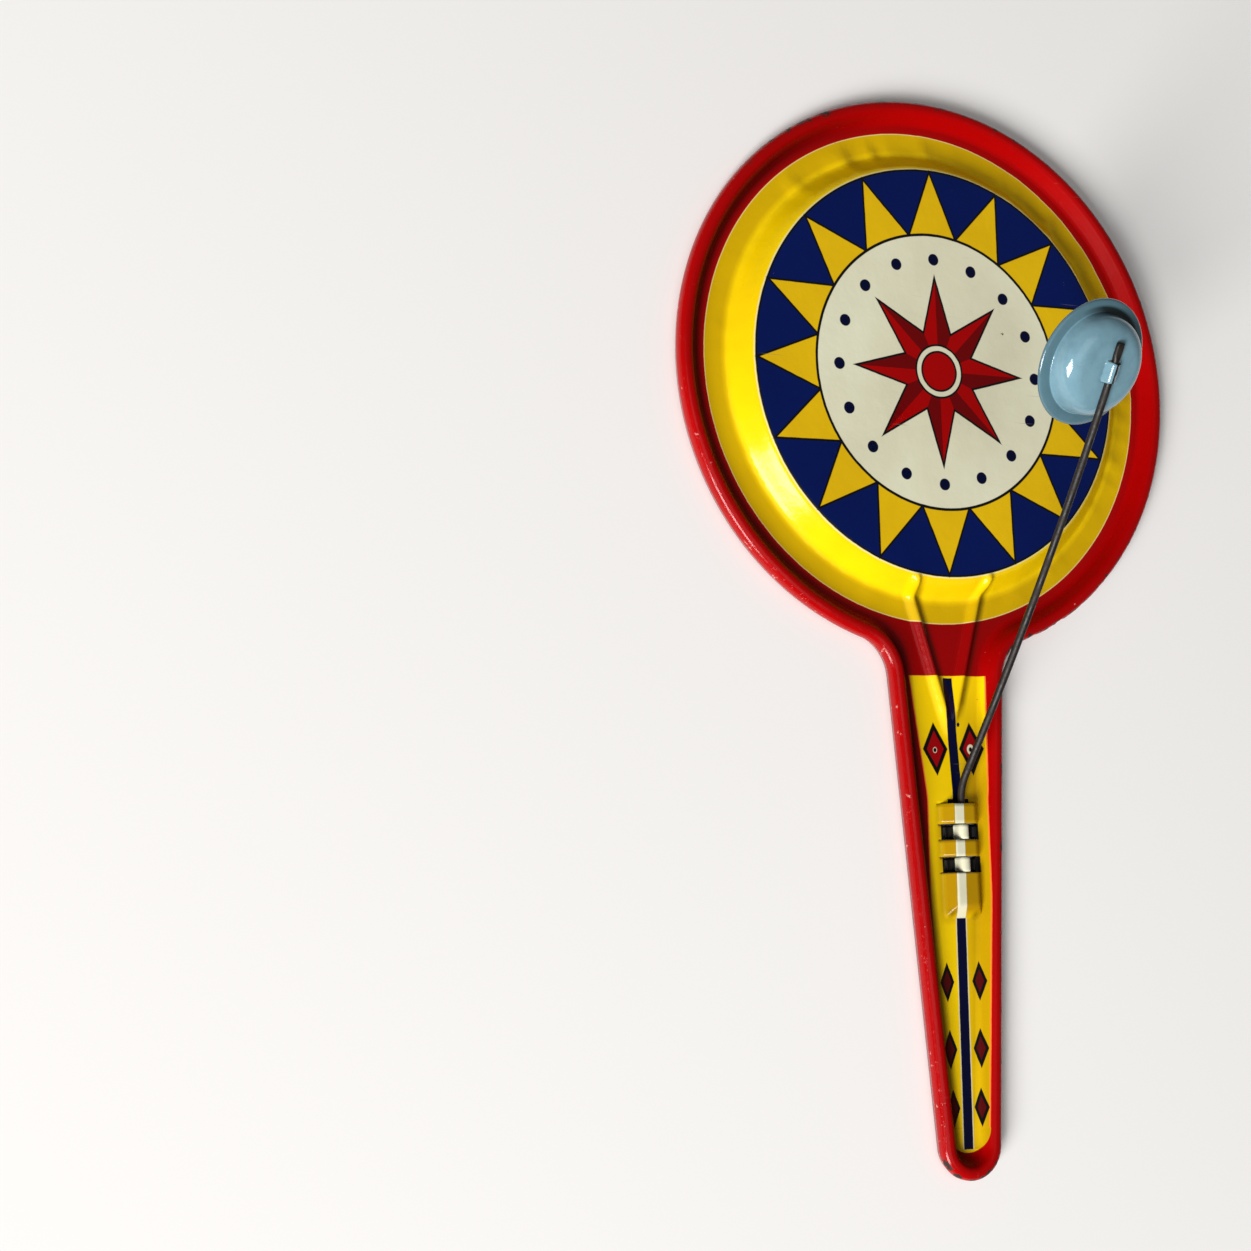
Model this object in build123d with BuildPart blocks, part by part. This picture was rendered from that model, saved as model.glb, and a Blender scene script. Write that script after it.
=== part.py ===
# Pressed tin clanger noisemaker: a pan with a handle, and a cup that a spring wire claps on its face.
# It lies face up: X across, Y along the handle towards the head, Z out of the face, in millimetres.
# Z = 0 is the raw edge of the rim that it rests on, and X = Y = 0 is the middle of its outline.

import os
from math import acos, atan2, cos, degrees, hypot, radians, sin, sqrt, tan

from build123d import *

# Sheet, and the outline of the one-piece stamping
sheet = 0.35
head_radius = 54.0
overall_length = 205.0
neck_half_width = 12.6
neck_fillet = 8.0
handle_end_radius = 6.4

# Section of the turned-down rim, measured in from the outline and up from the raw edge
rim_height = 3.7
rim_bend = 1.3
skirt_knee = 1.6
skirt_lean = 0.6
crown_inset = 2.35
foot_inset = 3.9
foot_flat = 1.3
floor_lap = 0.3
floor_height = 1.0

# Raised plateau that is struck, inside a moat round the head
moat_width = 10.6
plateau_wall_run = 3.4
plateau_height = 5.3
plateau_bend = 1.6

# Two stiffening ribs that run down the plateau's wall and draw together on the handle
rib_radius = 1.6
rib_sink = 0.75
rib_head_spread = 7.5
rib_tail_spread = 0.4
rib_length = 25.0
rib_climb = 0.78
rib_shift = 1.1

# Tunnel pressed up out of the handle over the wire, with an open mouth and staked bands
mouth_from_neck = 28.0
mouth_slit = 0.8
tunnel_shift = 2.0
tunnel_length = 21.2
tunnel_height = 2.1
tunnel_half_width = 4.1
tunnel_top_half_width = 2.3
tunnel_bend = 0.7
tunnel_end_slope = 45.0
band_count = 2
band_start = 3.8
band_pitch = 6.1
band_width = 3.0
band_slit = 0.15
band_dip = 0.33
band_dip_half_width = 3.0
saddle_roundness = 0.95

# Spring wire, and the way it leaves the mouth
wire_diameter = 1.4
wire_fit = 0.03
wire_bend_radius = 10.0
wire_lift = 31.5
wire_lean = 8.85
wire_bow = 5.0
crown_short = 9.0
wire_tail_gap = 1.5
flex_run = 7.4
flex_gap = 0.08
seat_depth = 0.4
paddle_length = 2.7
paddle_width = 1.6
paddle_thickness = 0.9
paddle_corner = 0.27

# Striker cup, crimped to the wire at its crown
brim_radius = 11.4
dome_radius = 9.0
dome_height = 4.9
dome_rise = 0.6
dome_taper = 0.7
dome_bend = 0.8
shoulder_bend = 3.0
cup_roll = 9.3
crimp_length = 3.8
crimp_gap = 0.5
lip_reach = 1.5

# Places that follow from the sizes above
wire_radius = wire_diameter / 2
plateau_foot_radius = head_radius - moat_width
plateau_radius = plateau_foot_radius - plateau_wall_run
head_y = overall_length / 2 - head_radius
end_y = handle_end_radius - overall_length / 2
neck_y = head_y - head_radius
mouth_y = neck_y - mouth_from_neck
taper = acos(handle_end_radius / hypot(neck_half_width, neck_y - end_y)) - atan2(neck_y - end_y, neck_half_width)
tunnel_top = floor_height + tunnel_height
wire_z = tunnel_top - sheet - wire_fit - wire_radius
below = 3 * sheet  # how far the forms run on under the raw edge before it is trimmed


def sunk(points, bends, depth):
    """Corners and bends of a folded sheet's skin, a depth to the right of its front skin."""
    runs = [(Vector(*b) - Vector(*a)).normalized() for a, b in zip(points, points[1:])]
    corners = []
    radii = []
    for i, (x, y) in enumerate(points):
        before = runs[max(i - 1, 0)]
        after = runs[min(i, len(runs) - 1)]
        step = depth / (1 + before.dot(after))
        turns_left = before.X * after.Y > before.Y * after.X
        corners.append((x + step * (before.Y + after.Y), y - step * (before.X + after.X)))
        radii.append(bends[i] and bends[i] + (depth if turns_left else -depth))
    return corners, radii


def filled(plane, points, bends, depth):
    """Face that fills everything under a folded sheet's skin, down past the raw edge."""
    corners, radii = sunk(points, bends, depth)
    bottom = -2 * below
    with BuildSketch(plane) as section:
        with BuildLine():
            FilletPolyline(
                *corners, (corners[-1][0], bottom), (corners[0][0], bottom), radius=[*radii, 0, 0], close=True
            )
        make_face()
    return section.sketch


def outline(inset):
    """Outline of the stamping drawn a distance inside its edge, clockwise from the top of the head."""
    head = Vector(0, head_y)
    end = Vector(0, end_y)
    out = Vector(cos(taper), -sin(taper))
    down = Vector(-sin(taper), -cos(taper))
    big = head_radius - inset
    small = handle_end_radius - inset
    nook = neck_fillet + inset
    across = out.dot(end) + small + nook - out.dot(head)
    nook_centre = head + out * across + down * sqrt((big + nook) ** 2 - across**2)
    leave = head + (nook_centre - head) * (big / (big + nook))
    meet = nook_centre - out * nook
    hollow = nook_centre + ((leave + meet) / 2 - nook_centre).normalized() * nook
    turn = end + out * small
    leave_angle = degrees(atan2(leave.Y - head_y, leave.X))
    meet_left = Vector(-meet.X, meet.Y)
    hollow_left = Vector(-hollow.X, hollow.Y)
    leave_left = Vector(-leave.X, leave.Y)
    turn_left = Vector(-turn.X, turn.Y)
    with BuildLine() as line:
        CenterArc(head, big, 90, leave_angle - 90)
        ThreePointArc(leave, hollow, meet)
        Line(meet, turn)
        CenterArc(end, small, -degrees(taper), 2 * degrees(taper) - 180)
        Line(turn_left, meet_left)
        ThreePointArc(meet_left, hollow_left, leave_left)
        CenterArc(head, big, 180 - leave_angle, leave_angle - 90)
    return line.line


def rim_face(depth):
    """Section of the rim at the top of the head."""
    lean_per_mm = skirt_lean / skirt_knee
    points = [
        (skirt_lean + lean_per_mm * below, -below),
        (0, skirt_knee),
        (0, rim_height),
        (crown_inset, rim_height),
        (foot_inset, floor_height),
        (foot_inset + foot_flat, floor_height),
    ]
    bends = [0, rim_bend, rim_bend, rim_bend, rim_bend, 0]
    plane = Plane(origin=(0, head_y + head_radius, 0), x_dir=(0, -1, 0), z_dir=(-1, 0, 0))
    return filled(plane, points, bends, depth)


def floor_face():
    """Floor of the head, the neck and the handle, inside the foot of the rim."""
    with BuildSketch() as floor:
        with BuildLine():
            add(outline(foot_inset + foot_flat - floor_lap))
        make_face()
    return floor.sketch


def plateau_face(depth):
    """Half section of the raised plateau, from its foot to the middle of the head."""
    apron = plateau_foot_radius + plateau_bend
    points = [
        (-apron, floor_height),
        (-plateau_foot_radius, floor_height),
        (-plateau_radius, plateau_height),
        (0, plateau_height),
    ]
    plane = Plane(origin=(0, head_y, 0), x_dir=(1, 0, 0), z_dir=(0, -1, 0))
    return filled(plane, points, [0, plateau_bend, plateau_bend, 0], depth)


def tunnel_form(depth):
    """Everything under the tunnel's skin: square at the mouth, sloped at its blind end."""
    points = [
        (-tunnel_half_width - tunnel_height, floor_height),
        (-tunnel_half_width, floor_height),
        (-tunnel_top_half_width, tunnel_top),
        (tunnel_top_half_width, tunnel_top),
        (tunnel_half_width, floor_height),
        (tunnel_half_width + tunnel_height, floor_height),
    ]
    bends = [0, tunnel_bend, tunnel_bend, tunnel_bend, tunnel_bend, 0]
    slit = mouth_slit if depth else 0
    plane = Plane(origin=(tunnel_shift, mouth_y + slit, 0), x_dir=(1, 0, 0), z_dir=(0, -1, 0))
    slope = radians(tunnel_end_slope)
    blind = Plane(
        origin=(0, mouth_y - tunnel_length + depth * tan(slope / 2), floor_height - depth),
        z_dir=(0, sin(slope), -cos(slope)),
    )
    with BuildPart() as tunnel:
        extrude(filled(plane, points, bends, depth), amount=tunnel_length + slit)
        split(bisect_by=blind, keep=Keep.TOP)
    return tunnel.part


def rib_form(side, depth):
    """Rounded bar that presses one rib up out of the floor and the plateau's wall."""
    wall = atan2(plateau_height - floor_height, plateau_foot_radius - plateau_radius)
    inward = rib_sink * tan(wall / 2)
    run = Vector(side * (rib_tail_spread - rib_head_spread), -rib_length).normalized()
    foot_x = rib_shift + side * rib_head_spread
    foot = Vector(foot_x, head_y - sqrt((plateau_foot_radius - inward) ** 2 - foot_x**2))
    climb = rib_climb * (plateau_height - floor_height)
    top = foot - run * (climb / tan(wall))
    tail = foot + run * rib_length
    sunk_floor = floor_height - rib_sink
    corners = [
        Vector(top.X, top.Y, sunk_floor + climb),
        Vector(foot.X, foot.Y, sunk_floor),
        Vector(tail.X, tail.Y, sunk_floor),
    ]
    with BuildPart() as rib:
        for start, stop in zip(corners, corners[1:]):
            with BuildSketch(Plane(origin=start, z_dir=stop - start)) as bar:
                Circle(rib_radius - depth)
            extrude(bar.sketch, amount=(stop - start).length)
        with Locations(*corners):
            Sphere(rib_radius - depth)
    return rib.part


# Pan: head, neck and handle pressed from one sheet
band_places = [mouth_y - band_start - band_width / 2 - i * band_pitch for i in range(band_count)]
leg = wire_radius + wire_fit + sheet / 2
saddle_bend = leg * saddle_roundness
with BuildPart() as pan:
    for depth, mode in ((0, Mode.ADD), (sheet, Mode.SUBTRACT)):
        sweep(sections=rim_face(depth), path=outline(0), mode=mode)
        extrude(floor_face(), amount=floor_height - depth, mode=mode)
        extrude(floor_face(), amount=-below, mode=mode)
        revolve(plateau_face(depth), axis=Axis((0, head_y, 0), (0, 0, 1)), mode=mode)
        for side in (-1, 1):
            add(rib_form(side, depth), mode=mode)
        add(tunnel_form(depth), mode=mode)
    split(bisect_by=Plane.XY, keep=Keep.TOP)
    for y in band_places:
        with Locations((tunnel_shift, y, tunnel_top)):
            Box(2 * tunnel_half_width, band_width, 2 * tunnel_top, mode=Mode.SUBTRACT)
        with BuildSketch(Plane(origin=(tunnel_shift, y, 0), x_dir=(1, 0, 0), z_dir=(0, -1, 0))) as band:
            with BuildLine():
                FilletPolyline(
                    (-tunnel_half_width - sheet, floor_height - sheet / 2),
                    (-tunnel_half_width + sheet, floor_height - sheet / 2),
                    (-band_dip_half_width, floor_height - sheet / 2 - band_dip),
                    (-leg, floor_height - sheet / 2 - band_dip),
                    (-leg, tunnel_top - sheet / 2),
                    (leg, tunnel_top - sheet / 2),
                    (leg, floor_height - sheet / 2 - band_dip),
                    (band_dip_half_width, floor_height - sheet / 2 - band_dip),
                    (tunnel_half_width - sheet, floor_height - sheet / 2),
                    (tunnel_half_width + sheet, floor_height - sheet / 2),
                    radius=[sheet, sheet, sheet, saddle_bend, saddle_bend, sheet, sheet, sheet],
                )
            trace(line_width=sheet)
        extrude(band.sketch, amount=band_width / 2 - band_slit, both=True)
pan.part.label = "pan"

# Line of the spring wire: out of the mouth, round one bend, straight, then bowed to the left up to the crimp
lift = radians(wire_lift)
lean = radians(wire_lean)
bow = radians(wire_bow)
along = Vector(sin(lean) * cos(lift), cos(lean) * cos(lift), sin(lift))
left = Vector(-cos(lean), sin(lean), 0)
cup_way = along * cos(bow) + left * sin(bow)
mouth = Vector(tunnel_shift, mouth_y, wire_z)
bend_run = wire_bend_radius * tan(acos(along.Y) / 2)
vertex = mouth + Vector(0, bend_run, 0)
bend_out = Vector(along.X, 0, along.Z).normalized()
bend_centre = mouth + bend_out * wire_bend_radius
bend_middle = bend_centre + (vertex - bend_centre).normalized() * wire_bend_radius
bend_end = vertex + along * bend_run
flex = bend_end + along * flex_run
bow_reach = along * sin(bow) + left * (1 - cos(bow))
bow_radius = (head_y - crown_short - cup_way.Y * crimp_length / 2 - flex.Y) / bow_reach.Y
bow_middle = flex + (along * sin(bow / 2) + left * (1 - cos(bow / 2))) * bow_radius
bow_end = flex + bow_reach * bow_radius
crown = bow_end + cup_way * (crimp_length / 2)
tail_y = mouth_y - tunnel_length + tunnel_height / tan(radians(tunnel_end_slope)) + wire_tail_gap
tail_end = Vector(tunnel_shift, tail_y, wire_z)
swing_axis = Vector(crown.Y - flex.Y, flex.X - crown.X, 0).normalized()

# Wire root: gripped in the tunnel, bent out of its mouth
seat_radius = wire_radius + flex_gap
with BuildPart() as wire_root:
    with BuildLine() as root_line:
        Line(tail_end, mouth)
        ThreePointArc(mouth, bend_middle, bend_end)
        Line(bend_end, flex - along * (seat_radius - seat_depth))
    with BuildSketch(Plane(origin=tail_end, z_dir=(0, 1, 0))) as wire_section:
        Circle(wire_radius)
    sweep(sections=wire_section.sketch, path=root_line.line)
    with Locations(flex):
        Sphere(seat_radius, mode=Mode.SUBTRACT)
wire_root.part.label = "spring_wire_root"

# Cup's own directions: along the wire, and out of its crown
level = Vector(cup_way.Y, -cup_way.X, 0).normalized()
roll = radians(cup_roll)
cup_axis = level.cross(cup_way) * cos(roll) + level * sin(roll)
wire_over_brim = dome_height + wire_fit + wire_radius
brim_centre = crown - cup_axis * wire_over_brim
cup_side = cup_way.cross(cup_axis)

# Wire arm: the free length that swings, with its end hammered flat beyond the crimp
crimp_end = crown + cup_way * (crimp_length / 2)
with BuildPart() as wire_arm:
    with BuildLine() as arm_line:
        ThreePointArc(flex, bow_middle, bow_end)
        Line(bow_end, crimp_end + cup_way * wire_diameter)
    with BuildSketch(Plane(origin=flex, z_dir=along)) as arm_section:
        Circle(wire_radius)
    sweep(sections=arm_section.sketch, path=arm_line.line)
    with Locations(flex):
        Sphere(wire_radius)
    with BuildSketch(Plane(origin=crimp_end + cup_way * wire_radius, x_dir=cup_side, z_dir=cup_way)) as paddle:
        RectangleRounded(paddle_width, paddle_thickness, paddle_corner)
    extrude(paddle.sketch, amount=paddle_length)
wire_arm.part.label = "spring_wire_arm"


def lip_section(side):
    """Section of one lip: from its hinge in the cup's top, leaning on the wire, to the gap over it."""
    turn = wire_radius + wire_fit + sheet / 2
    hinge = Vector(side * lip_reach, dome_height - sheet / 2)
    slope = 2 * atan2(turn, lip_reach)
    touch = hinge + Vector(-side * cos(slope), sin(slope)) * lip_reach
    middle = Vector(0, wire_over_brim)
    over = 90 - degrees(atan2(crimp_gap / 2, turn))
    brow = (90 - degrees(slope) + over) / 2
    with BuildSketch(Plane(origin=brim_centre, x_dir=cup_side, z_dir=-cup_way)) as section:
        with BuildLine():
            Line(hinge + Vector(side * sheet, 0), hinge)
            Line(hinge, touch)
            ThreePointArc(
                touch,
                middle + Vector(side * cos(radians(brow)), sin(radians(brow))) * turn,
                middle + Vector(side * cos(radians(over)), sin(radians(over))) * turn,
            )
        trace(line_width=sheet)
    return section.sketch


# Striker cup: a flat-topped cup with a brim, and two lips lanced from its top and leaned on the wire
shoulder = (dome_radius - dome_taper, dome_height - dome_rise - sheet / 2)
top_radius = (shoulder[0] ** 2 + dome_rise**2) / (2 * dome_rise)
with BuildPart() as cup:
    with BuildSketch(Plane(origin=brim_centre, x_dir=cup_way, z_dir=cup_side)) as cup_section:
        with BuildLine() as cup_line:
            Line((brim_radius, -sheet / 2), (dome_radius, -sheet / 2))
            Line((dome_radius, -sheet / 2), shoulder)
            RadiusArc(shoulder, (0, dome_height - sheet / 2), -top_radius)
            fillet(cup_line.vertices().sort_by_distance((dome_radius, 0))[0], radius=dome_bend)
            fillet(cup_line.vertices().sort_by_distance(shoulder)[0], radius=shoulder_bend)
        trace(line_width=sheet)
    revolve(cup_section.sketch, axis=Axis(brim_centre, cup_axis))
    with Locations(Plane(origin=brim_centre + cup_axis * dome_height, x_dir=cup_way, z_dir=cup_axis)):
        Box(crimp_length, 2 * lip_reach, 4 * sheet, mode=Mode.SUBTRACT)
    for side in (-1, 1):
        extrude(lip_section(side), amount=crimp_length / 2, both=True)
cup.part.label = "striker_cup"

os.makedirs("parts", exist_ok=True)
for piece in (pan, wire_root, wire_arm, cup):
    export_step(piece.part, f"parts/{piece.part.label}.step")

print("flex point", [round(v, 3) for v in flex], "crown", [round(v, 3) for v in crown])
print("swing axis", [round(v, 4) for v in swing_axis])
print("brim centre", [round(v, 3) for v in brim_centre], "cup axis", [round(v, 4) for v in cup_axis])
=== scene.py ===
import math

import bmesh
import bpy
import numpy as np
from mathutils import Matrix, Vector, geometry, noise


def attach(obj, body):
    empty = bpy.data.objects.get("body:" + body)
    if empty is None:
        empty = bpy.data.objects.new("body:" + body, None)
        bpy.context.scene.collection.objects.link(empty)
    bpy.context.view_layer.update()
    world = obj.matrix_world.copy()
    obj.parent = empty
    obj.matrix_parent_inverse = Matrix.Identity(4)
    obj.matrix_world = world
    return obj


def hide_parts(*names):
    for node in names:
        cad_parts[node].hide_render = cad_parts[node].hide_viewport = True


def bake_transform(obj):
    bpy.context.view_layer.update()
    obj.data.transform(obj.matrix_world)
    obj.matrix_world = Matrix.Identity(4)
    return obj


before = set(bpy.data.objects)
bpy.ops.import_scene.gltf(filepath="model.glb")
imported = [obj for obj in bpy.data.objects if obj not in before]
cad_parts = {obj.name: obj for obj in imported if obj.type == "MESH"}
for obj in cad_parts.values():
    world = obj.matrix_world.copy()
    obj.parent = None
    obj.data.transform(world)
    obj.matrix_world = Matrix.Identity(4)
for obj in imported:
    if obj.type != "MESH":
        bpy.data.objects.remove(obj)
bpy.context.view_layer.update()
mm = 0.001


# Shapes shared by the pieces

def clamped(value):
    return min(max(value, 0), 1)


def roundedLine(points, bends, steps=6):
    line = [Vector(points[0])]
    for before, here, after, bend in zip(points, points[1:], points[2:], bends):
        corner = Vector(here)
        back = (Vector(before) - corner).normalized()
        ahead = (Vector(after) - corner).normalized()
        half = back.angle(ahead) / 2
        centre = corner + (back + ahead).normalized() * (bend / math.sin(half))
        first = corner + back * (bend / math.tan(half)) - centre
        last = corner + ahead * (bend / math.tan(half)) - centre
        turn = first.angle(last)
        for i in range(steps + 1):
            share = i / steps
            arm = first * math.sin((1 - share) * turn) + last * math.sin(share * turn)
            line.append(centre + arm / math.sin(turn))
    line.append(Vector(points[-1]))
    return line


def evenly(line, count):
    walked = np.cumsum([0] + [(b - a).length for a, b in zip(line, line[1:])])
    places = np.linspace(0, walked[-1], count)
    columns = [np.interp(places, walked, [p[i] for p in line]) for i in range(len(line[0]))]
    return [Vector(p) for p in zip(*columns)]


def insideOf(points, ring):
    x, y = np.array(points).T
    inside = np.zeros(len(x), bool)
    for (ax, ay), (bx, by) in zip(ring, ring[1:] + ring[:1]):
        if ay != by:
            inside ^= ((ay > y) != (by > y)) & (x < (bx - ax) * (y - ay) / (by - ay) + ax)
    return inside


def spaced(wanted, kept, gap):
    cells = {}
    for p in kept:
        cells.setdefault((int(p[0] // gap), int(p[1] // gap)), []).append(p)
    fresh = []
    for p in wanted:
        column, row = int(p[0] // gap), int(p[1] // gap)
        near = [q for i in (-1, 0, 1) for j in (-1, 0, 1) for q in cells.get((column + i, row + j), ())]
        if all((p[0] - q[0]) ** 2 + (p[1] - q[1]) ** 2 > gap * gap for q in near):
            cells.setdefault((column, row), []).append(p)
            fresh.append(p)
    return fresh


def filledSheet(ring, hole, points):
    flat = [Vector(p[:2]) for p in (*ring, *hole, *points)]
    edges = [(i, (i + 1) % len(ring)) for i in range(len(ring))]
    edges += [(len(ring) + i, len(ring) + (i + 1) % len(hole)) for i in range(len(hole))]
    corners, _, faces, *_ = geometry.delaunay_2d_cdt(flat, edges, [], 0, 1e-4)
    middles = [sum((corners[i] for i in face), Vector((0, 0))) / 3 for face in faces]
    within, cut = ([tuple(p[:2]) for p in loop] for loop in (ring, hole))
    keep = insideOf(middles, within) & ~insideOf(middles, cut)
    return [tuple(c) for c in corners], [tuple(f) for f, good in zip(faces, keep) if good]


class SheetMesh:
    def __init__(self):
        self.points = []
        self.faces = []

    def grid(self, rows, closed=False):
        start = len(self.points)
        width = len(rows[0])
        for row in rows:
            self.points.extend(tuple(p) for p in row)
        for i in range(len(rows) - 1):
            for j in range(width if closed else width - 1):
                k = (j + 1) % width
                a, b = start + i * width, start + (i + 1) * width
                self.faces.append((a + j, b + j, b + k, a + k))

    def patch(self, points, faces):
        start = len(self.points)
        self.points.extend(tuple(p) for p in points)
        self.faces.extend(tuple(start + i for i in face) for face in faces)

    def make(self, name, weld=0.004):
        mesh = bpy.data.meshes.new(name)
        mesh.from_pydata([tuple(v * mm for v in p) for p in self.points], [], self.faces)
        work = bmesh.new()
        work.from_mesh(mesh)
        bmesh.ops.remove_doubles(work, verts=work.verts, dist=weld * mm)
        bmesh.ops.delete(work, geom=[v for v in work.verts if not v.link_faces], context="VERTS")
        work.to_mesh(mesh)
        work.free()
        mesh.polygons.foreach_set("use_smooth", [True] * len(mesh.polygons))
        piece = bpy.data.objects.new(name, mesh)
        bpy.context.collection.objects.link(piece)
        return piece


def thicken(piece, thickness, backSlot=0, rimSlot=0):
    solid = piece.modifiers.new("sheetThickness", "SOLIDIFY")
    solid.thickness = thickness * mm
    solid.offset = -1
    solid.material_offset = backSlot
    solid.material_offset_rim = rimSlot


# Pan with its handle, pressed from one printed sheet

pan = {
    "sheet": 0.35,
    "headRadius": 54.0,
    "headY": 48.5,
    "endY": -96.1,
    "endRadius": 6.4,
    "neckHalfWidth": 12.6,
    "neckFillet": 8.0,
    "rimSection": [(0.6, 0.0), (0.0, 1.6), (0.0, 3.7), (2.35, 3.7), (3.9, 1.0), (4.66, 1.0)],
    "rimBends": [1.3, 1.3, 1.3, 1.3],
    "floor": 1.0,
    "plateauSection": [(46.0, 1.0), (43.4, 1.0), (40.0, 5.3), (0.0, 5.3)],
    "plateauBends": [0.7, 1.5],
    "ribs": [((-6.4, 5.94), (0.43, -18.1)), ((8.6, 6.33), (1.77, -17.7))],
    "ribHalfWidth": 1.75,
    "ribSteepSide": 1.4,  # the right flank is the steeper
    "ribHeight": 1.05,
    "ribHead": (4.1, 2.4),  # reach above the foot, and the length it rises over
    "ribTail": (3.5, 6.0),  # reach past the tail, and the length it sinks over
    "ribSpan": (-24, 12),
    "ribRows": (0, 0.35, 0.7, 1.05, 1.4, 1.75, 2.2, 2.8),
    "wallRings": (
        39.0, 39.6, 40.0, 40.4, 40.8, 41.3, 41.9, 42.5,
        42.9, 43.3, 43.7, 44.2, 44.8, 45.6, 46.6, 47.8,
    ),
    "ringPoints": 240,
}
wrinkle = {  # drawn in where the sheet was pulled down the plateau's wall
    "radius": 44.0,
    "spread": 2.7,
    "mostAt": math.radians(48),
    "depth": (0.16, 0.75),
    "furrow": 0.3,  # keeps a furrow clear of the table
}
nick = {  # dents along the battered right-hand edge
    "depth": 0.5,
    "grain": 1.1,
    "below": 3.2,
    "start": 4,
    "fade": 8,
}
tunnel = {
    "shift": 2.0,
    "mouth": -33.5,
    "slit": 0.05,
    "end": -54.7,
    "halfWidth": 4.1,
    "topHalfWidth": 2.3,
    "top": 3.1,
    "bends": [1.1, 0.85, 0.85, 1.1],
    "windows": [(-37.3, -40.3), (-43.4, -46.4)],
    "bandSlit": 0.15,
    "bandDip": 0.67,
    "bandFoot": 0.35,
    "bandFloorHalf": 3.0,
    "bandBends": [0.3, 0.3, 0.2, 0.95],
    "saddleHalf": 1.08,
    "lap": 0.03,
    "runOut": 0.4,
    "margin": 4.9,
    "columns": 57,
}


def panOutline():
    head = Vector((0, pan["headY"]))
    end = Vector((0, pan["endY"]))
    neck = pan["headY"] - pan["headRadius"] - pan["endY"]
    reach = math.hypot(pan["neckHalfWidth"], neck)
    taper = math.acos(pan["endRadius"] / reach) - math.atan2(neck, pan["neckHalfWidth"])
    out = Vector((math.cos(taper), -math.sin(taper)))
    down = Vector((-math.sin(taper), -math.cos(taper)))
    nook, big = pan["neckFillet"], pan["headRadius"]
    across = out.dot(end) + pan["endRadius"] + nook - out.dot(head)
    nookCentre = head + out * across + down * math.sqrt((big + nook) ** 2 - across**2)
    leave = nookCentre - head
    leaveAngle = math.atan2(leave.y, leave.x)
    meet = nookCentre - out * nook
    turn = end + out * pan["endRadius"]
    right = []
    for a in np.linspace(math.pi / 2, leaveAngle, 112)[:-1]:  # round the head
        normal = Vector((math.cos(a), math.sin(a)))
        right.append((head + normal * big, normal))
    for a in np.linspace(leaveAngle + math.pi, math.pi - taper, 16)[:-1]:  # round the nook of the neck
        normal = -Vector((math.cos(a), math.sin(a)))
        right.append((nookCentre - normal * nook, normal))
    for share in np.linspace(0, 1, 52)[:-1]:  # down the handle's side
        right.append((meet.lerp(turn, share), out))
    for a in np.linspace(-taper, -math.pi / 2, 16):  # round the handle's end
        normal = Vector((math.cos(a), math.sin(a)))
        right.append((end + normal * pan["endRadius"], normal))
    left = [(Vector((-p.x, p.y)), Vector((-n.x, n.y))) for p, n in reversed(right[1:-1])]
    return right + left


def plateauTable():
    line = roundedLine(pan["plateauSection"], pan["plateauBends"], 8)
    return np.array([(p[0], p[1]) for p in reversed(line)])


plateauLine = plateauTable()


def ribHeight(x, y):
    height = 0
    (wallFoot, low), (wallTop, high) = pan["plateauSection"][1:3]
    wall = math.hypot(high - low, wallFoot - wallTop) / (wallFoot - wallTop)
    headReach, headFade = pan["ribHead"]
    tailReach, tailFade = pan["ribTail"]
    for foot, tail in pan["ribs"]:
        run = (Vector(tail) - Vector(foot)).normalized()
        length = (Vector(tail) - Vector(foot)).length
        offset = Vector((x, y)) - Vector(foot)
        along = offset.dot(run)
        aside = offset.x * run.y - offset.y * run.x
        halfWidth = pan["ribHalfWidth"] if aside > 0 else pan["ribSteepSide"]
        if abs(aside) > halfWidth:
            continue
        ridge = 0.5 + 0.5 * math.cos(math.pi * aside / halfWidth)
        head = clamped((along + headReach) / headFade)
        end = clamped((length + tailReach - along) / tailFade)
        steep = 1 + (wall - 1) * clamped(-along / 1.2)
        height = max(height, pan["ribHeight"] * ridge * head * head * (3 - 2 * head) * end * steep)
    return height


def panHeight(x, y):
    radius = math.hypot(x, y - pan["headY"])
    z = float(np.interp(radius, plateauLine[:, 0], plateauLine[:, 1]))
    if pan["ribSpan"][0] < y < pan["ribSpan"][1]:
        z += ribHeight(x, y)
    angle = math.atan2(x, y - pan["headY"])
    drawn = math.exp(-(((radius - wrinkle["radius"]) / wrinkle["spread"]) ** 2))
    ripple = noise.noise((math.cos(angle) * 9, math.sin(angle) * 9, 3.1))
    ripple += 0.8 * noise.noise((math.cos(angle) * 21, math.sin(angle) * 21, radius * 0.1))
    rucked = max(0, 0.45 + math.cos(angle - wrinkle["mostAt"]))
    if ripple < 0:
        ripple *= wrinkle["furrow"]
    shallow, deep = wrinkle["depth"]
    z += (shallow + deep * rucked) * drawn * ripple
    z += 0.10 * noise.noise((x * 0.035, y * 0.035, 7.7))  # the sheet is never dead flat
    z += 0.03 * noise.noise((x * 0.14, y * 0.14, 1.7))
    return z


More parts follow.
